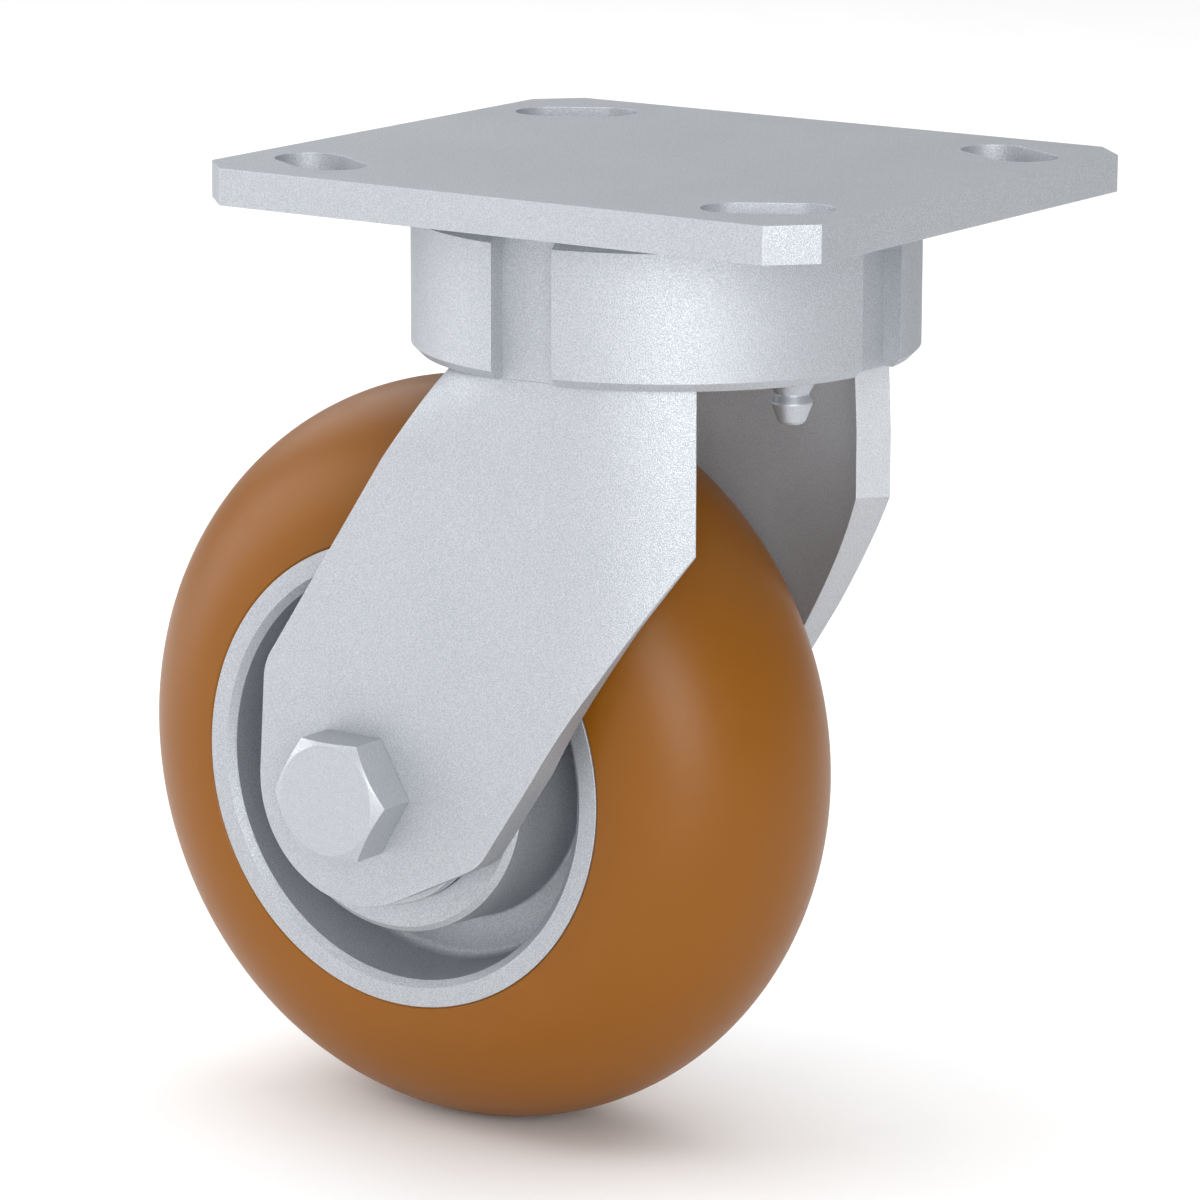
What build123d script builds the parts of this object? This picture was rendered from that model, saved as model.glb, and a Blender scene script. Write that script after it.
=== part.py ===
from build123d import *
from math import atan2, cos, degrees, pi, radians, sin, sqrt, tan
import os

# Kingpinless swivel plate caster. The origin is the middle of the top plate's upper face.
# +Z is up and is the swivel axis, the wheel trails towards -X, and the axle lies along Y.
# "near" is the -Y side, which carries the axle bolt's head, and "far" is the nut's side.

# Top plate with four slotted holes, each reaching from the square to the wide bolt spacing
plate_length = 114.3
plate_width = 101.6
plate_thickness = 6.0
plate_corner = 6.4
plate_edge_break = 0.4
bolt_slot_width = 11.1
square_spacing = 76.2
wide_spacing_x = 92.1
wide_spacing_y = 66.7

# Swivel section: an inner race under the plate, one row of balls and the fork's outer housing
swivel_gap = 1.7
housing_height = 23.0
housing_chamfer = 1.4
housing_floor = 4.0
lock_notch_count = 4
lock_notch_width = 11.4
lock_notch_depth = 3.5
lock_notch_root = 0.8
swivel_ball_size = 12.7
race_wall = 7.55
swivel_ball_spacing = 13.0
race_running_gap = 1.2
race_bore_radius = 11.0
ball_play = 0.12
plug_angle = 135.0
plug_socket = 5.0
plug_socket_depth = 3.0
plug_recess = 0.5

# Grease fitting in the housing's floor, ahead of the wheel
fitting_inset = 3.6
fitting_thread_radius = 3.0
fitting_hex = 7.2
fitting_hex_height = 3.3
fitting_cone_height = 1.8
fitting_neck_radius = 2.5
fitting_head_radius = 3.35
fitting_head_rise = 0.65
fitting_head_rim = 0.4
fitting_tip_radius = 2.25
fitting_tip_round = 0.45
fitting_length = 9.75

# Fork legs: flat at the axle and curved round the swivel section at the top
leg_thickness = 6.0
swivel_lead = 35.0
axle_drop = 101.5
leg_end_radius = 19.05
leg_rear_top = -19.1
leg_rear_slope = 33.2
leg_rear_lean = 3.2
leg_front = 24.94
leg_front_corner_drop = 57.0
leg_front_slope = 33.5
leg_toe_angle = 26.4
leg_corner_radius = 9.0
leg_wing_centre = 2.95
leg_blend_drop = 46.0
leg_front_turn = 48.0
leg_rear_turn = 62.0
weld_leg = 4.0
weld_rear_turn = 28.0
weld_front_turn = 36.0

# Wheel: a cast hub with a bonded tyre of elliptical crown
wheel_diameter = 125.0
tyre_width = 50.0
rim_radius = 38.7
rim_face_inner_radius = 35.5
rim_bevel = 1.2
rim_wall_root_radius = 33.5
web_thickness = 21.0
web_fillet = 1.2
boss_radius = 25.5
boss_root_radius = 26.4
boss_chamfer = 1.0
hub_length = 55.6
hub_core_radius = 13.0

# Sealed ball bearings, one at each end of the hub
bearing_bore = 17.0
bearing_outside = 40.0
bearing_width = 12.0
bearing_recess = 0.5
bearing_ball_size = 6.75
bearing_ball_count = 8
bearing_inner_shoulder = 12.2
bearing_outer_shoulder = 16.3
cage_thickness = 2.5
cage_width = 8.4
cage_pocket_play = 0.1
seal_thickness = 1.0
seal_recess = 0.3
seal_lip_gap = 0.3

# Axle: a hex bolt through a bushing that keeps the legs apart
axle_diameter = 12.7
axle_play = 0.1
bolt_head_flats = 19.05
bolt_head_height = 7.8
bolt_end_past_nut = 3.0
bolt_end_chamfer = 1.2
nut_hex_height = 10.0
nut_collar_height = 4.5
nut_collar_radius = 8.8
nut_insert_radius = 7.9
nut_insert_height = 3.0
hex_face_share = 0.94
hex_corner_slope = 30.0
washer_radius = 17.0
washer_thickness = 2.5
thrust_washer_radius = 20.1
thrust_washer_gap = 0.5
thrust_flange_thickness = 3.1
thrust_seat_radius = 11.5
slip_play = 0.02
running_gap = 0.3

# How many times as long as the body it passes through a cutter is made
overrun = 3

# Places that follow from the sizes above
hub_end = hub_length / 2
leg_inner = hub_end + thrust_washer_gap + thrust_flange_thickness
leg_face = leg_inner + leg_thickness
leg_wing_radius = leg_face + leg_wing_centre
housing_radius = leg_face + lock_notch_depth
swivel_pitch_radius = housing_radius - race_wall - swivel_ball_size / 2
cavity_radius = swivel_pitch_radius + race_running_gap / 2
fitting_place = cavity_radius - fitting_inset
plate_bottom = -plate_thickness
housing_top = plate_bottom - swivel_gap
housing_bottom = housing_top - housing_height
cavity_floor = housing_bottom + housing_floor
race_bottom = cavity_floor + race_running_gap
ball_level = (housing_top + cavity_floor) / 2
wheel_radius = wheel_diameter / 2
bearing_end = hub_end - bearing_recess
bearing_start = bearing_end - bearing_width
bearing_middle = (bearing_start + bearing_end) / 2
bearing_pitch_radius = (bearing_inner_shoulder + bearing_outer_shoulder) / 2
bushing_radius = bearing_bore / 2 - slip_play
axle_hole_radius = axle_diameter / 2 + axle_play
plug_radius = swivel_ball_size / 2 + running_gap
nut_seat = leg_face + washer_thickness
nut_end = nut_seat + nut_hex_height + nut_collar_height
axle_place = Pos(-swivel_lead, 0, -axle_drop)


def ring(inner, outer, low, high):
    """A plain ring about the axle, between two radii and two places along it."""
    corners = [(inner, low), (outer, low), (outer, high), (inner, high)]
    return revolve(make_face(Polyline(*corners, close=True)), Axis.Y)


def hexagon(across_flats, height):
    """An upright hexagonal prism with a corner towards +X."""
    return extrude(RegularPolygon(across_flats / 2, 6, major_radius=False), height)


def near_and_far(name, build):
    """A piece made for the far end of the axle, and its mirror image at the near end."""
    far = axle_place * build
    return {f"near_{name}": mirror(far, Plane.XZ), f"far_{name}": far}


def make_top_plate():
    outline = Rectangle(plate_length, plate_width)
    outline = chamfer(outline.vertices(), plate_corner)
    plate = extrude(outline, plate_thickness)
    rims = plate.edges().group_by(Axis.Z)
    plate = chamfer(rims[0] + rims[-1], plate_edge_break)
    reach_x = (wide_spacing_x - square_spacing) / 2
    reach_y = (wide_spacing_y - square_spacing) / 2
    for side_x in (-1, 1):
        for side_y in (-1, 1):
            middle_x = side_x * (wide_spacing_x + square_spacing) / 4
            middle_y = side_y * (wide_spacing_y + square_spacing) / 4
            turn = degrees(atan2(side_y * reach_y, side_x * reach_x))
            slot = SlotCenterToCenter(sqrt(reach_x**2 + reach_y**2), bolt_slot_width)
            plate -= Pos(middle_x, middle_y) * Rot(0, 0, turn) * extrude(slot, plate_thickness)
    return Pos(0, 0, plate_bottom) * plate


def ball_groove():
    """The ring-shaped track that the swivel balls roll in, with their play."""
    groove = Torus(swivel_pitch_radius, swivel_ball_size / 2 + ball_play)
    return Pos(0, 0, ball_level) * groove


def make_inner_race():
    height = plate_bottom - race_bottom
    radius = swivel_pitch_radius - race_running_gap / 2
    align = (Align.CENTER, Align.CENTER, Align.MAX)
    race = Cylinder(radius, height, align=align)
    race = chamfer(race.edges().group_by(Axis.Z)[0], housing_chamfer / 2)
    race -= Cylinder(race_bore_radius, height, align=align)
    return Pos(0, 0, plate_bottom) * race - ball_groove()


def make_swivel_balls():
    count = int(2 * pi * swivel_pitch_radius / swivel_ball_spacing)
    ball = Sphere(swivel_ball_size / 2)
    return [
        Rot(0, 0, 360 * i / count) * Pos(swivel_pitch_radius, 0, ball_level) * ball
        for i in range(count)
    ]


def plug_bore(radius, start, end):
    """A cylinder lying along the ball-loading hole's axis, from one radius to another."""
    align = (Align.CENTER, Align.CENTER, Align.MIN)
    rod = Pos(0, 0, start) * Cylinder(radius, end - start, align=align)
    return Rot(0, 0, plug_angle) * Pos(0, 0, ball_level) * Rot(0, 90, 0) * rod


def make_swivel_housing():
    align = (Align.CENTER, Align.CENTER, Align.MIN)
    housing = Cylinder(housing_radius, housing_height, align=align)
    ends = housing.edges().group_by(Axis.Z)
    housing = chamfer(ends[0] + ends[-1], housing_chamfer)
    notch = Box(lock_notch_width, 2 * lock_notch_depth, 2 * housing_height, align=align)
    notch = fillet(notch.edges().filter_by(Axis.Z).group_by(Axis.Y)[-1], lock_notch_root)
    for i in range(lock_notch_count):
        turn = Rot(0, 0, 360 * i / lock_notch_count)
        housing -= turn * Pos(0, -housing_radius, -housing_chamfer) * notch
    cavity = Cylinder(cavity_radius, housing_height, align=align)
    housing = Pos(0, 0, housing_bottom) * housing - Pos(0, 0, cavity_floor) * cavity
    housing -= ball_groove()
    housing -= plug_bore(plug_radius, swivel_pitch_radius, housing_radius + lock_notch_depth)
    thread_hole = Cylinder(fitting_thread_radius + slip_play, overrun * housing_floor)
    return housing - Pos(fitting_place, 0, housing_bottom) * thread_hole


def make_ball_plug():
    start = swivel_pitch_radius + swivel_ball_size / 2 + running_gap
    end = housing_radius - plug_recess
    plug = plug_bore(plug_radius - slip_play, start, end)
    socket = Pos(0, 0, end - plug_socket_depth) * hexagon(plug_socket, 2 * plug_socket_depth)
    return plug - Rot(0, 0, plug_angle) * Pos(0, 0, ball_level) * Rot(0, 90, 0) * socket


def make_grease_fitting():
    """Hex base, conical shoulder, neck and button head, turned about its own axis and hung down."""
    neck = fitting_hex_height + fitting_cone_height
    head = neck + fitting_head_rise
    outline = Polyline(
        (0, -housing_floor),
        (fitting_thread_radius, -housing_floor),
        (fitting_thread_radius, 0),
        (fitting_hex / 2, 0),
        (fitting_hex / 2, fitting_hex_height),
        (fitting_neck_radius, neck),
        (fitting_head_radius, head),
        (fitting_head_radius, head + fitting_head_rim),
        (fitting_tip_radius, fitting_length - fitting_tip_round),
        (fitting_tip_radius - fitting_tip_round, fitting_length),
        (0, fitting_length),
        close=True,
    )
    core = revolve(Plane.XZ * make_face(outline), Axis.Z)
    fitting = Rot(180, 0, 0) * (core + hexagon(fitting_hex, fitting_hex_height))
    return Pos(fitting_place, 0, housing_bottom) * fitting


def leg_section(inset, level, curved):
    """The space inside one face of the near leg at one height, as a closed outline.

    inset is 0 for the leg's outer face and its thickness for the inner one. The curved
    section follows the swivel housing; the plain one is flat behind the swivel axis and
    turns forward on the wing's radius.
    """
    face = leg_face - inset
    front_turn = radians(leg_front_turn)
    rear_turn = radians(leg_rear_turn)
    if curved:
        centre = 0.0
        radius = face
        rear = (-radius * sin(rear_turn), -radius * cos(rear_turn))
        middle = (-radius * sin(rear_turn / 2), -radius * cos(rear_turn / 2))
        rear_edge = ThreePointArc(rear, middle, (0, -face))
    else:
        centre = leg_wing_radius - leg_face
        radius = leg_wing_radius - inset
        rear = (-2 * housing_radius, -face)
        rear_edge = Line(rear, (0, -face))
    turns = [front_turn / 2, front_turn]
    points = [(radius * sin(t), centre - radius * cos(t)) for t in turns]
    front_edge = ThreePointArc((0, -face), points[0], points[1])
    back = leg_face
    closing = Polyline(points[1], (points[1][0], back), (rear[0], back), rear)
    return Pos(0, 0, level) * make_face([rear_edge, front_edge, *closing.edges()])


def leg_volume(inset):
    """Everything on the centre side of one face of the near leg."""
    low = leg_section(inset, -leg_blend_drop, False)
    top = leg_section(inset, housing_bottom, True)
    lower = extrude(low, -(axle_drop + 2 * leg_end_radius - leg_blend_drop))
    return lower + loft([low, top], ruled=True)


def meeting(first, first_slope, second, second_slope):
    """Where two lines in the outline's plane cross, each given by a point and a slope in X per Z."""
    rise = (second[0] - first[0] + first_slope * first[1] - second_slope * second[1])
    level = rise / (first_slope - second_slope)
    return (first[0] + first_slope * (level - first[1]), level)


def leg_silhouette():
    """The near leg's flat outline seen from the side, running on past its front edge."""
    lean = radians(leg_rear_lean)
    toe = radians(leg_toe_angle)

    def on_end_arc(angle):
        return (-swivel_lead + leg_end_radius * cos(angle), -axle_drop + leg_end_radius * sin(angle))

    heel_start = on_end_arc(pi - lean)
    heel_middle = on_end_arc(-pi / 2)
    heel_end = on_end_arc(toe - pi / 2)
    rear_top = (leg_rear_top, housing_bottom)
    rear_corner = meeting(rear_top, tan(radians(leg_rear_slope)), heel_start, tan(lean))
    front_top = (leg_front, -leg_front_corner_drop)
    toe_corner = meeting(front_top, tan(radians(leg_front_slope)), heel_end, 1 / tan(toe))
    beyond = overrun * housing_radius
    edges = [
        *Polyline(rear_top, rear_corner, heel_start).edges(),
        ThreePointArc(heel_start, heel_middle, heel_end),
        *Polyline(heel_end, toe_corner, front_top).edges(),
        *Polyline(front_top, (beyond, front_top[1]), (beyond, housing_bottom), rear_top).edges(),
    ]
    outline = make_face(edges)
    corners = [Vector(*rear_corner), Vector(*toe_corner)]
    rounded = [v for v in outline.vertices() if min((Vector(v) - p).length for p in corners) < slip_play]
    return fillet(rounded, leg_corner_radius)


def wing_edge(depth):
    """The leg's front edge, carried along the wing's radius to one distance from the centre.

    The cut it makes stands square to the curved wing, as on a plate that was bent after cutting.
    """
    centre = leg_wing_radius - leg_face
    slope = radians(leg_front_slope)
    rise = leg_front / sin(slope) * cos(slope)

    def carried(share):
        x = leg_front * share
        out = sqrt(leg_wing_radius**2 - x**2)
        return (x * (depth + centre) / out, -leg_front_corner_drop - rise * (1 - share))

    start = carried(0)
    corner = carried(1)
    top = (corner[0], 0)
    beyond = overrun * housing_radius
    return make_face(
        [
            ThreePointArc(start, carried(1 / 2), corner),
            Polyline(corner, top, (beyond, 0), (beyond, start[1]), start),
        ]
    )


def make_near_leg():
    blank = leg_volume(0) - leg_volume(leg_thickness)
    facing = Plane(origin=(0, 0, 0), x_dir=(1, 0, 0), z_dir=(0, -1, 0))
    inner = leg_inner * cos(radians(leg_front_turn))
    outer = leg_face + leg_thickness
    silhouette = facing.offset(inner) * leg_silhouette()
    leg = blank & extrude(silhouette, outer - inner)
    cuts = [facing.offset(depth) * wing_edge(depth) for depth in (inner - leg_thickness, outer)]
    leg -= loft(cuts, ruled=True)
    hole = Cylinder(axle_hole_radius, overrun * leg_face)
    return leg - axle_place * Rot(90, 0, 0) * hole


def make_leg_weld():
    """A fillet bead between the near leg's inner face and the housing's underside."""
    start = leg_inner - weld_leg
    reach = leg_face
    drop = weld_leg + reach - leg_inner
    corners = [(start, 0), (reach, 0), (reach, -drop)]
    section = Plane.XZ * make_face(Polyline(*corners, close=True))
    arc = weld_rear_turn + weld_front_turn
    bead = revolve(section, Axis.Z, revolution_arc=arc)
    turn = Rot(0, 0, -90 - weld_rear_turn)
    return Pos(0, 0, housing_bottom) * turn * bead & leg_volume(leg_thickness)


def make_tyre():
    """The crown is half an ellipse about the rim's edge, so that it runs flush into the rim's faces."""
    half = tyre_width / 2
    crown = wheel_radius - rim_radius
    ellipse = Pos(rim_radius, 0) * Ellipse(crown, half)
    outside = Pos(rim_radius, 0) * Rectangle(2 * crown, 2 * half, align=(Align.MIN, Align.CENTER))
    return axle_place * revolve(ellipse & outside, Axis.Y)


def make_hub():
    """A cast hub: barrel with bearing seats, web and rim, turned about the axle."""
    rim_end = tyre_width / 2
    web = web_thickness / 2
    half_outline = [
        (hub_core_radius, 0),
        (hub_core_radius, bearing_start),
        (bearing_outside / 2, bearing_start),
        (bearing_outside / 2, hub_end),
        (boss_radius - boss_chamfer, hub_end),
        (boss_radius, hub_end - boss_chamfer),
        (boss_root_radius, web),
        (rim_wall_root_radius, web),
        (rim_face_inner_radius - rim_bevel, rim_end - rim_bevel),
        (rim_face_inner_radius, rim_end),
        (rim_radius, rim_end),
        (rim_radius, 0),
    ]
    section = make_face(Polyline(*half_outline, close=True))
    roots = [
        v
        for v in section.vertices()
        if abs(v.Y - web) < slip_play and boss_radius < v.X < rim_face_inner_radius
    ]
    half = revolve(fillet(roots, web_fillet), Axis.Y)
    return axle_place * (half + mirror(half, Plane.XZ))


def bearing_groove():
    groove = Torus(bearing_pitch_radius, bearing_ball_size / 2 + ball_play)
    return Pos(0, bearing_middle, 0) * Rot(90, 0, 0) * groove


def make_bearing_inner_ring():
    body = ring(bearing_bore / 2, bearing_inner_shoulder, bearing_start, bearing_end)
    return body - bearing_groove()


def make_bearing_outer_ring():
    body = ring(bearing_outer_shoulder, bearing_outside / 2, bearing_start, bearing_end)
    return body - bearing_groove()


def bearing_places():
    """The middle of each ball of the far bearing."""
    return [
        Rot(0, 360 * i / bearing_ball_count, 0) * Pos(bearing_pitch_radius, bearing_middle, 0)
        for i in range(bearing_ball_count)
    ]


def make_bearing_balls():
    return Compound([place * Sphere(bearing_ball_size / 2) for place in bearing_places()])


def make_bearing_cage():
    inner = bearing_pitch_radius - cage_thickness / 2
    outer = bearing_pitch_radius + cage_thickness / 2
    low = bearing_middle - cage_width / 2
    cage = ring(inner, outer, low, low + cage_width)
    for place in bearing_places():
        cage -= place * Rot(0, 90, 0) * Cylinder(bearing_ball_size / 2 + cage_pocket_play, bearing_width)
    return cage


def make_bearing_shields():
    inner = bearing_inner_shoulder + seal_lip_gap
    low = bearing_start + seal_recess
    high = bearing_end - seal_recess - seal_thickness
    shields = [
        ring(inner, bearing_outer_shoulder, start, start + seal_thickness) for start in (low, high)
    ]
    return Compound(shields)


def make_spanner_bushing():
    return axle_place * ring(axle_hole_radius, bushing_radius, -leg_inner, leg_inner)


def make_thrust_washer():
    """A disc against the leg with a low seat that bears on the bearing's inner ring."""
    seat_inner = bearing_bore / 2
    flange_start = hub_end + thrust_washer_gap
    flange = ring(seat_inner, thrust_washer_radius, flange_start, leg_inner)
    return flange + ring(seat_inner, thrust_seat_radius, bearing_end, flange_start)


def along_axle(shape, start):
    """Lays an upright shape along the axle, growing towards the far end from one place."""
    return axle_place * Pos(0, start, 0) * Rot(-90, 0, 0) * shape


def hex_head(across_flats, height):
    """An upright hexagon whose top corners are turned off by a shallow cone."""
    corner = across_flats / sqrt(3)
    face = across_flats / 2 * hex_face_share
    drop = (corner - face) * tan(radians(hex_corner_slope))
    corners = [(0, 0), (corner, 0), (corner, height - drop), (face, height), (0, height)]
    cone = revolve(Plane.XZ * make_face(Polyline(*corners, close=True)), Axis.Z)
    return hexagon(across_flats, height) & cone


def make_axle_bolt():
    length = leg_face + nut_end + bolt_end_past_nut
    align = (Align.CENTER, Align.CENTER, Align.MIN)
    shank = Cylinder(axle_diameter / 2, length, align=align)
    shank = chamfer(shank.edges().group_by(Axis.Z)[-1], bolt_end_chamfer)
    head = Rot(180, 0, 0) * hex_head(bolt_head_flats, bolt_head_height)
    return along_axle(head + shank, -leg_face)


def make_nut_washer():
    return axle_place * ring(axle_hole_radius, washer_radius, leg_face, nut_seat)


def make_lock_nut():
    """A hexagon with a round collar that holds the locking insert."""
    align = (Align.CENTER, Align.CENTER, Align.MIN)
    collar = Cylinder(nut_collar_radius, nut_collar_height, align=align)
    collar = fillet(collar.edges().group_by(Axis.Z)[-1], nut_collar_radius - nut_insert_radius)
    nut = hex_head(bolt_head_flats, nut_hex_height) + Pos(0, 0, nut_hex_height) * collar
    nut -= Cylinder(axle_diameter / 2 + slip_play, overrun * nut_hex_height)
    pocket = Cylinder(nut_insert_radius, nut_insert_height, align=align)
    top = nut_hex_height + nut_collar_height
    return along_axle(nut - Pos(0, 0, top - nut_insert_height) * pocket, nut_seat)


def make_nut_insert():
    low = nut_end - nut_insert_height
    return axle_place * ring(axle_diameter / 2 + slip_play, nut_insert_radius, low, nut_end)


near_leg = make_near_leg()
near_weld = make_leg_weld()
nodes = {
    "top_plate": make_top_plate(),
    "swivel_inner_race": make_inner_race(),
    "swivel_balls": Compound(make_swivel_balls()),
    "swivel_housing": make_swivel_housing(),
    "ball_fill_plug": make_ball_plug(),
    "grease_fitting": make_grease_fitting(),
    "near_leg": near_leg,
    "far_leg": mirror(near_leg, Plane.XZ),
    "leg_welds": Compound([near_weld, mirror(near_weld, Plane.XZ)]),
    "hub": make_hub(),
    "tyre": make_tyre(),
    "spanner_bushing": make_spanner_bushing(),
    "axle_bolt": make_axle_bolt(),
    "nut_washer": make_nut_washer(),
    "lock_nut": make_lock_nut(),
    "nut_insert": make_nut_insert(),
    **near_and_far("bearing_inner_ring", make_bearing_inner_ring()),
    **near_and_far("bearing_outer_ring", make_bearing_outer_ring()),
    **near_and_far("bearing_balls", make_bearing_balls()),
    **near_and_far("bearing_cage", make_bearing_cage()),
    **near_and_far("bearing_shields", make_bearing_shields()),
    **near_and_far("thrust_washer", make_thrust_washer()),
}

os.makedirs("parts", exist_ok=True)
for name, shape in nodes.items():
    export_step(shape, f"parts/{name}.step")
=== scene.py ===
import math

import bmesh
import bpy
from mathutils import Matrix, Vector


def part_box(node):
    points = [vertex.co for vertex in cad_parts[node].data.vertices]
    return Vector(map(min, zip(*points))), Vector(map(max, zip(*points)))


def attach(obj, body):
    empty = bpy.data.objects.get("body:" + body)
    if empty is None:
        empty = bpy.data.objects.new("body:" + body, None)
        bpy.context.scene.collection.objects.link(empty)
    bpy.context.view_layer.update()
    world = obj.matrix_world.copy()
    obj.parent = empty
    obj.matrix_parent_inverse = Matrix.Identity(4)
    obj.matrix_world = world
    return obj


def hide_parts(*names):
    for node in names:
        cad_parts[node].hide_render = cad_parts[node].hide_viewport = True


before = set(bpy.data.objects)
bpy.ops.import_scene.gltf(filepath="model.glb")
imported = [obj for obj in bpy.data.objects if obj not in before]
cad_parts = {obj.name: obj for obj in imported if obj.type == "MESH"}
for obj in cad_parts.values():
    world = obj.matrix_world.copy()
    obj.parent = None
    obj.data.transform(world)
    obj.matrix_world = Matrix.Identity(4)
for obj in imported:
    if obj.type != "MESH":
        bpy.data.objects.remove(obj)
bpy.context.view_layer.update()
mm = 0.001
print("frame loaded:", len(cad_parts), "nodes")


def spanOf(node, axis):
    low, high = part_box(node)
    return low[axis], high[axis]


def halfSpan(node, axis):
    low, high = spanOf(node, axis)
    return (high - low) / 2


def middleOf(node):
    low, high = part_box(node)
    return (Vector(low) + Vector(high)) / 2


axle = middleOf("tyre")
floorLevel = spanOf("tyre", 2)[0]


# Shader helpers

class Wire:
    # wraps one socket, so that values are reckoned as plain sums
    def __init__(self, finish, socket):
        self.finish, self.socket = finish, socket

    def sum(self, operation, *values):
        return self.finish.add("Math", {"operation": operation}, values)

    def __add__(self, other):
        return self.sum("ADD", self, other)

    def __radd__(self, other):
        return self.sum("ADD", other, self)

    def __sub__(self, other):
        return self.sum("SUBTRACT", self, other)

    def __rsub__(self, other):
        return self.sum("SUBTRACT", other, self)

    def __mul__(self, other):
        return self.sum("MULTIPLY", self, other)

    def __rmul__(self, other):
        return self.sum("MULTIPLY", other, self)

    def __truediv__(self, other):
        return self.sum("DIVIDE", self, other)

    def __rtruediv__(self, other):
        return self.sum("DIVIDE", other, self)


class Finish:
    def __init__(self, name):
        self.material = bpy.data.materials.new(name)
        self.material.use_nodes = True
        self.tree = self.material.node_tree
        self.tree.nodes.clear()

    def add(self, kind, settings=None, values=(), output=0):
        node = self.tree.nodes.new("ShaderNode" + kind)
        for key, value in (settings or {}).items():
            setattr(node, key, value)
        pairs = values.items() if isinstance(values, dict) else enumerate(values)
        for key, value in pairs:
            if isinstance(value, Wire):
                self.tree.links.new(value.socket, node.inputs[key])
            else:
                node.inputs[key].default_value = value
        return Wire(self, node.outputs[output]) if node.outputs else node

    def place(self):
        return self.add("TexCoord", output="Object")

    def tilted(self, turn=(0.6, 0.4, 0.9)):
        # turned out of line with the flat faces, so that the grain is as strong on each of them
        return self.add("Mapping", values={"Vector": self.place(), "Rotation": turn})

    def noise(self, place, size, detail=2.0, roughness=0.5):
        values = {"Vector": place, "Scale": 1 / size, "Detail": detail, "Roughness": roughness}
        return self.add("TexNoise", values=values)

    def band(self, value, low, high):
        # 0 below low, 1 above high, and soft between
        values = {"Value": value, "From Min": low, "From Max": high}
        return self.add("MapRange", {"interpolation_type": "SMOOTHSTEP"}, values)

    def tint(self, amount, first, second):
        values = {0: amount, 6: asColour(first), 7: asColour(second)}
        return self.add("Mix", {"data_type": "RGBA"}, values, 2)

    def edges(self, width):
        # how far a softened normal turns away from the true one: it is 1 on an edge
        soft = self.add("Bevel", {"samples": 4}, {"Radius": width})
        true = self.add("NewGeometry", output="Normal")
        along = self.add("VectorMath", {"operation": "DOT_PRODUCT"}, (soft, true), "Value")
        return self.band(1 - along, 0.02, 0.2)

    def bump(self, height, distance, strength):
        return self.add("Bump", values={"Height": height, "Distance": distance, "Strength": strength})

    def finish(self, **values):
        names = {"colour": "Base Color", "roughness": "Roughness", "metallic": "Metallic", "normal": "Normal",
                 "specular": "Specular IOR Level", "glance": "Specular Tint"}
        shader = self.add("BsdfPrincipled", values={names[k]: v for k, v in values.items()})
        self.add("OutputMaterial", values={"Surface": shader})
        return self.material


def asColour(value):
    return value if isinstance(value, Wire) else (*value, 1)


# Finishes

def zincFinish(name, look):
    f = Finish(name)
    place = f.tilted()
    grain = f.noise(place, look["grainSize"], 1.0)
    cloud = f.noise(place, look["cloudSize"], 3.0)
    speck = f.band(grain, *look["grainBand"])
    worn = f.edges(look["edgeWidth"])
    tone = f.tint(cloud, look["coolTone"], look["warmTone"])
    tone = f.tint(speck * look["grainShade"], tone, look["brightTone"])
    tone = f.tint(worn * look["edgeShade"], tone, look["brightTone"])
    rough = look["roughness"] + (cloud - 0.5) * look["roughnessSpread"] + (0.5 - speck) * look["grainGloss"]
    rough = rough - worn * look["edgeGloss"]
    rise = f.bump(speck, look["grainDepth"], look["bumpStrength"])
    return f.finish(colour=tone, roughness=rough, metallic=look["metallic"], normal=rise,
                    specular=look["specular"], glance=(*look["glance"], 1))


plated = {
    "coolTone": (0.37, 0.39, 0.42),
    "warmTone": (0.41, 0.425, 0.45),
    "brightTone": (0.66, 0.68, 0.71),
    "grainSize": 0.19 * mm,
    "grainBand": (0.32, 0.7),
    "grainShade": 0.48,
    "grainDepth": 0.038 * mm,
    "grainGloss": 0.16,
    "bumpStrength": 0.6,
    "cloudSize": 18 * mm,
    "edgeWidth": 0.25 * mm,
    "edgeShade": 0.3,
    "edgeGloss": 0.06,
    "roughness": 0.5,
    "roughnessSpread": 0.05,
    "metallic": 0.68,
    "specular": 0.4,
    "glance": (0.45, 0.46, 0.48),
}
brightPlated = dict(plated, coolTone=(0.40, 0.42, 0.45), grainSize=0.17 * mm, grainShade=0.35,
                    grainDepth=0.012 * mm, roughness=0.45, glance=(0.8, 0.8, 0.82))
# the far leg's copy of the plating: the same zinc, less metallic, with a lighter tone that is painted light
# on the shaded far leg
paintedLightPlated = dict(plated, coolTone=(0.415, 0.43, 0.46), warmTone=(0.455, 0.467, 0.49), metallic=0.6)
castMetal = dict(plated, grainSize=0.22 * mm, roughness=0.52, cloudSize=9 * mm)


def steelFinish(name, look):
    f = Finish(name)
    place = f.place()
    values = {"Vector": place, "Scale": look["lineScale"], "Distortion": look["lineWaver"], "Detail": 2.0}
    turned = f.add("TexWave", {"wave_type": "RINGS", "rings_direction": "Y"}, values)
    smear = f.noise(place, look["smearSize"], 3.0)
    tone = f.tint(smear, look["darkTone"], look["lightTone"])
    rough = look["roughness"] + smear * look["smearGloss"] + turned * look["lineGloss"]
    rise = f.bump(turned, look["lineDepth"], look["lineStrength"])
    return f.finish(colour=tone, roughness=rough, metallic=1.0, normal=rise)


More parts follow.
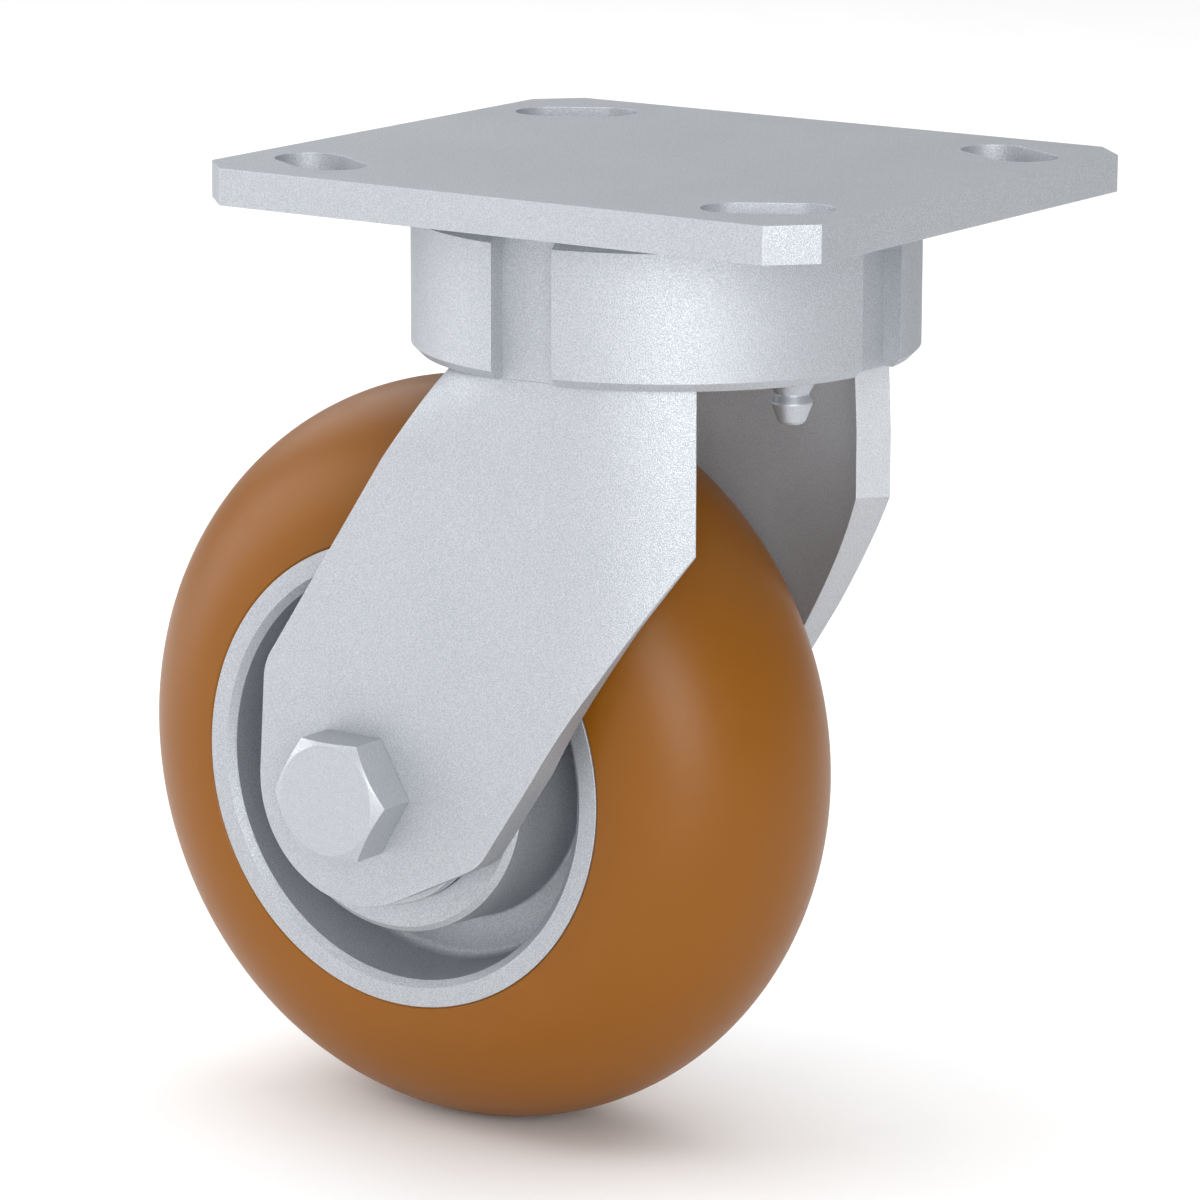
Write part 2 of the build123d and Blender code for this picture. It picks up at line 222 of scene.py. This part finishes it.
polished = {
    "darkTone": (0.60, 0.60, 0.61),
    "lightTone": (0.72, 0.72, 0.73),
    "smearSize": 6 * mm,
    "smearGloss": 0.08,
    "lineScale": 900,
    "lineWaver": 1.5,
    "lineDepth": 0.004 * mm,
    "lineStrength": 0.4,
    "lineGloss": 0.06,
    "roughness": 0.12,
}
pressed = dict(polished, darkTone=(0.42, 0.42, 0.42), lightTone=(0.52, 0.52, 0.51), roughness=0.3)


def treadFinish():
    look = treadLook
    f = Finish("treadBrown")
    place = f.place()
    cloud = f.noise(place, look["cloudSize"], 2.0)
    pores = f.noise(place, look["poreSize"], 2.0)
    dust = f.band(f.noise(place, look["dustSize"], 5.0, 0.65), *look["dustBand"])
    tone = f.tint(cloud, look["deepTone"], look["lightTone"])
    tone = f.tint(dust * look["dustShade"], tone, look["dustTone"])
    rough = look["roughness"] + (pores - 0.5) * look["poreGloss"] + dust * look["dustGloss"]
    rise = f.bump(pores, look["poreDepth"], look["poreStrength"])
    return f.finish(colour=tone, roughness=rough, metallic=0.0, normal=rise, specular=look["specular"])


treadLook = {
    "deepTone": (0.205, 0.069, 0.002),
    "lightTone": (0.230, 0.078, 0.003),
    "dustTone": (0.30, 0.12, 0.02),
    "dustShade": 0.08,
    "cloudSize": 40 * mm,
    "poreSize": 0.35 * mm,
    "poreDepth": 0.008 * mm,
    "poreStrength": 0.35,
    "poreGloss": 0.08,
    "dustSize": 12 * mm,
    "dustBand": (0.52, 0.75),
    "dustGloss": 0.08,
    "roughness": 0.4,
    "specular": 0.26,
}


nylonLook = {
    "deepTone": (0.70, 0.71, 0.68),
    "lightTone": (0.80, 0.81, 0.78),
    "mottleSize": 2 * mm,
    "mottleDepth": 0.02 * mm,
    "mottleStrength": 0.3,
    "mottleGloss": 0.1,
    "roughness": 0.42,
}


def nylonFinish():
    look = nylonLook
    f = Finish("nylonWhite")
    mottle = f.noise(f.place(), look["mottleSize"], 3.0)
    tone = f.tint(mottle, look["deepTone"], look["lightTone"])
    rough = look["roughness"] + mottle * look["mottleGloss"]
    rise = f.bump(mottle, look["mottleDepth"], look["mottleStrength"])
    return f.finish(colour=tone, roughness=rough, normal=rise)


floorLook = {
    "deepTone": (0.93, 0.93, 0.93),
    "lightTone": (0.96, 0.96, 0.96),
    "mottleSize": 30 * mm,
    "roughness": 0.9,
    "specular": 0.1,
    "reach": 12.0,
}


def floorFinish():
    look = floorLook
    f = Finish("studioFloor")
    mottle = f.noise(f.place(), look["mottleSize"], 3.0)
    tone = f.tint(mottle, look["deepTone"], look["lightTone"])
    return f.finish(colour=tone, roughness=look["roughness"], specular=look["specular"])


zinc = zincFinish("zincPlate", plated)
zincBright = zincFinish("zincFasteners", brightPlated)
zincPaintedLight = zincFinish("zincPaintedLight", paintedLightPlated)
cast = zincFinish("castHub", castMetal)
ballSteel = steelFinish("bearingSteel", polished)
sheetSteel = steelFinish("pressedSteel", pressed)
tread = treadFinish()
nylon = nylonFinish()
print("finishes made")


# Shapes

def dress(piece, body, node, material):
    piece.data.materials.clear()
    piece.data.materials.append(material)
    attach(piece, body)
    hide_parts(node)


def meshPiece(name, build):
    mesh = bpy.data.meshes.new(name)
    shape = bmesh.new()
    build(shape)
    bmesh.ops.recalc_face_normals(shape, faces=shape.faces)
    shape.to_mesh(mesh)
    shape.free()
    piece = bpy.data.objects.new(name, mesh)
    bpy.context.scene.collection.objects.link(piece)
    return piece


def smoothBelow(piece, degrees=32):
    # smooth shading with sharp edges, led by the large faces so that flats stay flat
    piece.data.shade_smooth()
    shape = bmesh.new()
    shape.from_mesh(piece.data)
    for edge in shape.edges:
        if len(edge.link_faces) == 2 and edge.calc_face_angle(0) > math.radians(degrees):
            edge.smooth = False
    shape.to_mesh(piece.data)
    shape.free()
    tool = piece.modifiers.new("shading", "WEIGHTED_NORMAL")
    tool.keep_sharp = True
    applyAll(piece)


def bevel(piece, width, degrees=32):
    tool = piece.modifiers.new("edges", "BEVEL")
    tool.width = width
    tool.segments = 2
    tool.limit_method = "ANGLE"
    tool.angle_limit = math.radians(degrees)
    applyAll(piece)


def applyAll(piece):
    bpy.context.view_layer.update()
    mesh = bpy.data.meshes.new_from_object(piece.evaluated_get(bpy.context.evaluated_depsgraph_get()))
    piece.modifiers.clear()
    piece.data = mesh


def softCopy(node, name, width, body, material, reshape=None):
    # a CAD piece with its sharp edges rounded over
    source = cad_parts[node].data.copy()
    shape = bmesh.new()
    shape.from_mesh(source)
    if reshape:
        reshape(shape)
    bmesh.ops.remove_doubles(shape, verts=shape.verts, dist=0.002 * mm)
    bmesh.ops.dissolve_limit(shape, angle_limit=math.radians(0.4), verts=shape.verts, edges=shape.edges)
    shape.to_mesh(source)
    shape.free()
    piece = bpy.data.objects.new(name, source)
    bpy.context.scene.collection.objects.link(piece)
    bevel(piece, width)
    smoothBelow(piece)
    dress(piece, body, node, material)


def softened(points, steps=5):
    # points are (radius, height, rounding), and each corner becomes an arc of its rounding
    out = []
    count = len(points)
    for i, (x, y, rounding) in enumerate(points):
        here = Vector((x, y))
        if not rounding:
            out.append(here)
            continue
        before = Vector(points[i - 1][:2]) - here
        after = Vector(points[(i + 1) % count][:2]) - here
        angle = before.angle(after)
        reach = min(rounding / math.tan(angle / 2), 0.49 * before.length, 0.49 * after.length)
        radius = reach * math.tan(angle / 2)
        inward = (before.normalized() + after.normalized()).normalized()
        centre = here + inward * (radius / math.sin(angle / 2))
        start = here + before.normalized() * reach - centre
        end = here + after.normalized() * reach - centre
        turn = start.angle_signed(end)
        for k in range(steps + 1):
            part = turn * k / steps
            spin = Matrix.Rotation(-part, 2)
            out.append(centre + spin @ start)
    return [(p.x, p.y) for p in out]


def turnedRing(shape, profile, centre, steps):
    # revolves a closed profile of (radius, height) about a line along Y through the centre
    rings = []
    for k in range(steps):
        a = 2 * math.pi * k / steps
        ring = []
        for radius, height in profile:
            spot = Vector((radius * math.cos(a), height, radius * math.sin(a)))
            ring.append(shape.verts.new(spot + centre))
        rings.append(ring)
    count = len(profile)
    for k in range(steps):
        a, b = rings[k], rings[(k + 1) % steps]
        for i in range(count):
            j = (i + 1) % count
            shape.faces.new((a[i], a[j], b[j], b[i]))
    bmesh.ops.remove_doubles(shape, verts=shape.verts, dist=0.0005 * mm)


def lathe(name, profile, steps):
    piece = meshPiece(name, lambda shape: turnedRing(shape, profile, axle, steps))
    smoothBelow(piece)
    return piece


# Wheel

tyreShape = {
    "rimRadius": 38.7 * mm,
    "jointDepth": 0.35 * mm,
    "faceInset": 0.004 * mm,
    "seatInset": 0.01 * mm,
    "steps": 192,
    "crownSteps": 56,
}


def makeTyre():
    k = tyreShape
    half = halfSpan("tyre", 1)
    crown = halfSpan("tyre", 0) - k["rimRadius"]
    profile = []
    for i in range(k["crownSteps"] + 1):
        t = math.pi * i / k["crownSteps"]
        profile.append((k["rimRadius"] + crown * math.sin(t), half * math.cos(t)))
    # the two ends of the crown turn in to the narrow joint between tyre and rim
    lip = k["jointDepth"]
    first, last = profile[0], profile[-1]
    profile[0] = (first[0] + lip, first[1] - k["faceInset"])
    profile[-1] = (last[0] + lip, last[1] + k["faceInset"])
    profile += [(last[0] - k["seatInset"], last[1] + lip), (first[0] - k["seatInset"], first[1] - lip)]
    piece = lathe("tyreBody", profile, k["steps"])
    dress(piece, "wheel", "tyre", tread)


hubShape = {
    # heights are measured from the middle of the wheel
    "coreRadius": 13.0 * mm,
    "seatRadius": 20.0 * mm,
    "seatStart": 15.3 * mm,
    "bossRadius": 25.5 * mm,
    "bossRoot": 26.4 * mm,
    "bossEdge": 1.0 * mm,
    "webHalf": 10.5 * mm,
    "bossFillet": 0.6 * mm,
    "wallFillet": 1.6 * mm,
    "wallRoot": 33.5 * mm,
    "mouthRadius": 34.3 * mm,
    "faceInner": 35.5 * mm,
    "bevel": 1.2 * mm,
    "rimRadius": 38.7 * mm,
    "rimHalf": 25.0 * mm,
    "rounding": 0.15 * mm,
    "steps": 192,
}


def makeHub():
    k = hubShape
    end = spanOf("hub", 1)[1]
    r = k["rounding"]
    half = [
        (k["coreRadius"], k["seatStart"], 0),
        (k["seatRadius"], k["seatStart"], 0),
        (k["seatRadius"], end, r),
        (k["bossRadius"] - k["bossEdge"], end, r),
        (k["bossRadius"], end - k["bossEdge"], r),
        (k["bossRoot"], k["webHalf"], k["bossFillet"]),
        (k["wallRoot"], k["webHalf"], k["wallFillet"]),
        (k["mouthRadius"], k["rimHalf"] - k["bevel"], 2 * r),
        (k["faceInner"], k["rimHalf"], r),
        (k["rimRadius"], k["rimHalf"], r),
    ]
    profile = half + [(x, -y, rounding) for x, y, rounding in reversed(half)]
    piece = lathe("hubCasting", softened(profile), k["steps"])
    dress(piece, "wheel", "hub", cast)


# Fork and plate

notchShape = {
    "halfWidth": 5.7 * mm,
    "floorDistance": 37.4 * mm,
    "rootReach": 0.85 * mm,
}


def squareRoots(shape):
    # draws the rounded roots of the four lock notches into square corners
    k = notchShape
    for vert in shape.verts:
        for turn in range(4):
            spin = Matrix.Rotation(math.pi / 2 * turn, 4, "Z")
            spot = spin @ vert.co
            side = math.copysign(k["halfWidth"], spot.x)
            if abs(spot.x - side) < k["rootReach"] and abs(spot.y + k["floorDistance"]) < k["rootReach"]:
                vert.co = spin.inverted() @ Vector((side, -k["floorDistance"], spot.z))
                break


plateShape = {
    "edgeBreak": 0.4 * mm,
    "reach": 0.7 * mm,
    "tolerance": 0.01 * mm,
}


def crispRim(shape):
    # draws the broken edges of the plate's outline out to a crisp corner
    k = plateShape
    low, high = spanOf("top_plate", 2)
    for face, inward in ((high, -1), (low, 1)):
        rimLevel = face + inward * k["edgeBreak"]
        rim = [v for v in shape.verts if abs(v.co.z - rimLevel) < k["tolerance"]]
        flat = [v for v in shape.verts if abs(v.co.z - face) < k["tolerance"]]
        for vert in rim:
            vert.co.z = face
        for vert in flat:
            near = min(rim, key=lambda other: (other.co - vert.co).length)
            if (near.co - vert.co).length < k["reach"]:
                vert.co = near.co


edgeWidths = {
    "plate": 0.15 * mm,
    "housing": 0.14 * mm,
    "leg": 0.18 * mm,
}


def makeForkAndPlate():
    k = edgeWidths
    softCopy("top_plate", "topPlate", k["plate"], "plate", zinc, crispRim)
    softCopy("swivel_housing", "swivelHousing", k["housing"], "fork", zinc, squareRoots)
    softCopy("near_leg", "nearLeg", k["leg"], "fork", zinc)
    # the far leg wears the lighter copy of the plating: painted light on its shaded inner face
    softCopy("far_leg", "farLeg", k["leg"], "fork", zincPaintedLight)


# Fasteners

def hexRadius(angle, flats):
    sector = math.pi / 3
    return flats / 2 / math.cos((angle % sector) - sector / 2)


hexShape = {
    "flats": 19.05 * mm,
    "cornerSlope": 30.0,
    "faceShare": 0.94,
    "steps": 96,
    "edgeWidth": 0.1 * mm,
}


def dressFastener(piece, node):
    bevel(piece, hexShape["edgeWidth"], 28)
    smoothBelow(piece, 22)
    dress(piece, "fork", node, zincBright)


def hexRings(height):
    # rings of a hexagon whose top corners are turned off by a shallow cone
    k = hexShape
    face = k["flats"] / 2 * k["faceShare"]
    fall = math.tan(math.radians(k["cornerSlope"]))
    return [
        lambda a: (hexRadius(a, k["flats"]), 0),
        lambda a: (hexRadius(a, k["flats"]), height - (hexRadius(a, k["flats"]) - face) * fall),
        lambda a: (face, height),
    ]


def ringStack(shape, rings, steps, place, closed=False):
    # joins rings given as functions of the angle; the last joins the first, or both get a flat cap
    grid = []
    for ring in rings:
        row = []
        for k in range(steps):
            a = 2 * math.pi * k / steps
            radius, height = ring(a)
            row.append(shape.verts.new(place @ Vector((radius * math.cos(a), radius * math.sin(a), height))))
        grid.append(row)
    pairs = list(zip(grid, grid[1:]))
    if closed:
        pairs.append((grid[-1], grid[0]))
    for low, high in pairs:
        for k in range(steps):
            m = (k + 1) % steps
            shape.faces.new((low[k], low[m], high[m], high[k]))
    if not closed:
        shape.faces.new(grid[0])
        shape.faces.new(grid[-1])


boltShape = {
    "radius": 6.35 * mm,
    "pitch": 1.954 * mm,
    "threadDepth": 1.05 * mm,
    "threadStart": 36.0 * mm,
    "crestShare": 0.08,
    "flankShare": 0.80,
    "endTaper": 1.4 * mm,
    "taperSlope": 0.8,
    "headHeight": 7.8 * mm,
    "turnSteps": 48,
    "pitchSteps": 8,
}


def makeBolt():
    k = boltShape
    low, high = spanOf("axle_bolt", 1)
    seat = low + k["headHeight"]
    toFar = Matrix.Translation(axle) @ Matrix.Rotation(math.radians(-90), 4, "X")

    def head(shape):
        under = axle + Vector((0, seat, 0))
        toNear = Matrix.Translation(under) @ Matrix.Rotation(math.radians(90), 4, "X")
        ringStack(shape, hexRings(k["headHeight"]), hexShape["steps"], toNear)

    def threadRadius(angle, along):
        turns = (along - k["threadStart"]) / k["pitch"] - angle / (2 * math.pi)
        wave = abs((turns % 1.0) - 0.5) * 2
        depth = k["threadDepth"] * (1 - min(1.0, max(0.0, (wave - k["crestShare"]) / k["flankShare"])))
        fade = min(1.0, max(0.0, (along - k["threadStart"]) / k["pitch"]))
        tip = max(0.0, along - (high - k["endTaper"]))
        return min(k["radius"] - depth * fade, k["radius"] - tip * k["taperSlope"])

    def shank(shape):
        stations = [seat, k["threadStart"]]
        length = high - k["threadStart"]
        count = int(length / k["pitch"] * k["pitchSteps"])
        stations += [k["threadStart"] + length * (i + 1) / count for i in range(count)]
        rings = [lambda a, y=y: (threadRadius(a, y), y) for y in stations]
        ringStack(shape, rings, k["turnSteps"], toFar)

    def both(shape):
        head(shape)
        shank(shape)

    dressFastener(meshPiece("axleBolt", both), "axle_bolt")


nutShape = {
    "bore": 6.37 * mm,
    "hexHeight": 10.0 * mm,
    "collarRadius": 8.8 * mm,
    "mouthRadius": 7.9 * mm,
    "insertHeight": 3.0 * mm,
    "collarSteps": 6,
}


def makeLockNut():
    k = nutShape
    low, high = spanOf("lock_nut", 1)
    place = Matrix.Translation((axle.x, low, axle.z)) @ Matrix.Rotation(math.radians(-90), 4, "X")

    def build(shape):
        top = high - low
        rim = k["collarRadius"] - k["mouthRadius"]
        rings = [lambda a: (k["bore"], 0)] + hexRings(k["hexHeight"])
        rings.append(lambda a: (k["collarRadius"], k["hexHeight"]))
        for i in range(k["collarSteps"] + 1):
            t = math.pi / 2 * i / k["collarSteps"]
            r, h = k["mouthRadius"] + rim * math.cos(t), top - rim + rim * math.sin(t)
            rings.append(lambda a, r=r, h=h: (r, h))
        rings.append(lambda a: (k["mouthRadius"], top - k["insertHeight"]))
        rings.append(lambda a: (k["bore"], top - k["insertHeight"]))
        ringStack(shape, rings, hexShape["steps"], place, closed=True)

    dressFastener(meshPiece("lockNut", build), "lock_nut")


washerShape = {
    "edge": 0.35 * mm,
    "nutBore": 6.45 * mm,
    "thrustBore": 8.5 * mm,
    "collarRadius": 11.5 * mm,
    "collarLength": 1.0 * mm,
    "steps": 128,
}


def makeWasher(node, name, outline):
    edge = washerShape["edge"]
    points = [(radius, height, 0 if inner else edge) for radius, height, inner in outline]
    piece = lathe(name, softened(points, 3), washerShape["steps"])
    dress(piece, "fork", node, zincBright)


def makeWashers():
    # an outline's third value tells an inner corner, which stays sharp
    k = washerShape
    bore, outer = k["nutBore"], halfSpan("nut_washer", 0)
    low, high = spanOf("nut_washer", 1)
    corners = [(bore, low, False), (outer, low, False), (outer, high, False), (bore, high, False)]
    makeWasher("nut_washer", "nutWasher", corners)
    for side in ("near", "far"):
        node = side + "_thrust_washer"
        bore, outer = k["thrustBore"], halfSpan(node, 0)
        low, high = spanOf(node, 1)
        collarEnd, flangeEnd = (low, high) if low > 0 else (high, low)
        flangeStart = collarEnd + math.copysign(k["collarLength"], low)
        corners = [
            (bore, collarEnd, False),
            (k["collarRadius"], collarEnd, False),
            (k["collarRadius"], flangeStart, True),
            (outer, flangeStart, False),
            (outer, flangeEnd, False),
            (bore, flangeEnd, False),
        ]
        makeWasher(node, side + "ThrustWasher", corners)


fittingShape = {
    "hexFlats": 7.2 * mm,
    "hexSlope": 0.6,
    "hexHeight": 3.3 * mm,
    "coneHeight": 1.6 * mm,
    "neckRadius": 2.75 * mm,
    "headRadius": 3.35 * mm,
    "headRise": 1.3 * mm,
    "headRim": 0.3 * mm,
    "tipRadius": 2.25 * mm,
    "tipRound": 0.45 * mm,
    "ballRadius": 0.9 * mm,
    "ballDepth": 0.75 * mm,
    "ballRise": 0.7 * mm,
    "seatDepth": 0.5 * mm,
    "threadRadius": 3.0 * mm,
    "threadLength": 4.0 * mm,
    "steps": 72,
    "ballSteps": 5,
    "roundings": (0.5 * mm, 0.4 * mm, 0.5 * mm, 0.2 * mm, 0.15 * mm, 0.1 * mm),
}


def makeGreaseFitting():
    k = fittingShape
    middle = middleOf("grease_fitting")
    tip = spanOf("grease_fitting", 2)[0]
    base = spanOf("swivel_housing", 2)[0]
    length = base - tip
    place = Matrix.Translation((middle.x, middle.y, base)) @ Matrix.Rotation(math.pi, 4, "X")
    neck = k["hexHeight"] + k["coneHeight"]
    head = neck + k["headRise"]

    def build(shape):
        flats = k["hexFlats"]
        hexTop = k["hexHeight"] + flats / 2 * k["hexSlope"]
        rings = [
            lambda a: (k["threadRadius"], -k["threadLength"]),
            lambda a: (k["threadRadius"], 0),
            lambda a: (hexRadius(a, flats), 0),
            lambda a: (hexRadius(a, flats), hexTop - hexRadius(a, flats) * k["hexSlope"]),
        ]
        neckRound, headRound, rimRound, sideRound, endRound, mouthRound = k["roundings"]
        upper = [
            (flats / 2, k["hexHeight"], 0),
            (k["neckRadius"], neck, neckRound),
            (k["headRadius"], head, headRound),
            (k["headRadius"], head + k["headRim"], rimRound),
            (k["tipRadius"], length - k["tipRound"], sideRound),
            (k["tipRadius"] - k["tipRound"], length, endRound),
            (k["ballRadius"], length, mouthRound),
            (k["ballRadius"], length - k["seatDepth"], 0),
        ]
        smooth = softened(upper + [(0, 0, 0)], 5)[:-1]
        rings += [lambda a, r=r, h=h: (r, h) for r, h in smooth]
        for i in range(k["ballSteps"]):
            t = math.pi / 2 * (i + 1) / (k["ballSteps"] + 0.2)
            r, h = k["ballRadius"] * math.cos(t), length - k["ballDepth"] + k["ballRise"] * math.sin(t)
            rings.append(lambda a, r=r, h=h: (r, h))
        ringStack(shape, rings, k["steps"], place)

    piece = meshPiece("greaseFitting", build)
    smoothBelow(piece, 28)
    dress(piece, "fork", "grease_fitting", zincBright)


# Carried-over CAD pieces keep their shape and get a full finish

def dressCadNodes():
    plain = {
        "swivel_inner_race": zinc, "ball_fill_plug": zincBright, "leg_welds": zinc, "spanner_bushing": zinc,
        "swivel_balls": ballSteel, "nut_insert": nylon,
    }
    for side in ("near", "far"):
        plain[side + "_bearing_inner_ring"] = ballSteel
        plain[side + "_bearing_outer_ring"] = ballSteel
        plain[side + "_bearing_balls"] = ballSteel
        plain[side + "_bearing_cage"] = sheetSteel
        plain[side + "_bearing_shields"] = sheetSteel
    for node, material in plain.items():
        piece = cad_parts[node]
        piece.data.materials.clear()
        piece.data.materials.append(material)


makeTyre()
makeHub()
print("wheel made")
makeForkAndPlate()
print("fork and plate made")
makeBolt()
makeLockNut()
makeWashers()
makeGreaseFitting()
dressCadNodes()
print("small pieces made")


# Camera, floor and light

cameraLook = {
    "azimuth": 34.25,
    "elevation": 12.50,
    "roll": 0.192,
    "focalPixels": 5924.0,
    "imagePixels": 1200.0,
    "spot": (518.28 * mm, -779.75 * mm, 135.28 * mm),
}


def makeCamera():
    k = cameraLook
    a, e, r = (math.radians(k[n]) for n in ("azimuth", "elevation", "roll"))
    back = Vector((math.sin(a) * math.cos(e), -math.cos(a) * math.cos(e), math.sin(e)))
    level = Vector((math.cos(a), math.sin(a), 0))
    upright = back.cross(level)
    right = level * math.cos(r) + upright * math.sin(r)
    up = upright * math.cos(r) - level * math.sin(r)
    data = bpy.data.cameras.new("camera")
    data.sensor_width = 36.0
    data.lens = k["focalPixels"] / k["imagePixels"] * data.sensor_width
    data.clip_start, data.clip_end = 0.05, 50
    camera = bpy.data.objects.new("camera", data)
    bpy.context.scene.collection.objects.link(camera)
    turn = Matrix((right, up, back)).transposed()
    camera.matrix_world = Matrix.Translation(k["spot"]) @ turn.to_4x4()
    bpy.context.scene.camera = camera


lightLook = {
    # name: kind, azimuth and elevation of where it stands, distance, size and power
    "rightKey": ("AREA", 43, 12, 2.0, 1.1, 23.5),
    "leftFill": ("AREA", -70, 15, 1.5, 1.0, 7.2),
    "backLeft": ("AREA", -118, 32, 1.5, 1.0, 3.8),
    "frontFill": ("AREA", 5, 25, 1.5, 1.0, 2.6),
    "upperLeft": ("AREA", -35, 50, 1.5, 1.0, 4.6),
    "sky": ("SUN", 160, 75, 2.0, 1.3, 1.6),
}
worldLook = {"colour": (1.0, 1.0, 1.0), "strength": 0.39}


def makeLights():
    target = Vector((0, 0, floorLevel / 2))
    for name, (kind, azimuth, elevation, distance, size, power) in lightLook.items():
        a, e = math.radians(azimuth), math.radians(elevation)
        away = Vector((math.sin(a) * math.cos(e), -math.cos(a) * math.cos(e), math.sin(e)))
        data = bpy.data.lights.new(name, kind)
        if kind == "SUN":
            data.angle = size
        else:
            data.shape = "DISK"
            data.size = size
        data.energy = power
        lamp = bpy.data.objects.new(name, data)
        bpy.context.scene.collection.objects.link(lamp)
        turn = away.to_track_quat("Z", "Y")
        lamp.matrix_world = Matrix.Translation(target + away * distance) @ turn.to_matrix().to_4x4()
    world = bpy.data.worlds.new("studio")
    world.use_nodes = True
    sky = world.node_tree.nodes["Background"]
    sky.inputs["Color"].default_value = (*worldLook["colour"], 1)
    sky.inputs["Strength"].default_value = worldLook["strength"]
    bpy.context.scene.world = world
    bpy.context.scene.view_settings.view_transform = "Standard"


def makeFloor():
    reach = floorLook["reach"]

    def build(shape):
        corners = [(-reach, -reach), (reach, -reach), (reach, reach), (-reach, reach)]
        shape.faces.new([shape.verts.new((x, y, floorLevel)) for x, y in corners])

    floor = meshPiece("floor", build)
    floor.data.materials.append(floorFinish())


makeCamera()
makeLights()
makeFloor()
print("camera, lights and floor made")
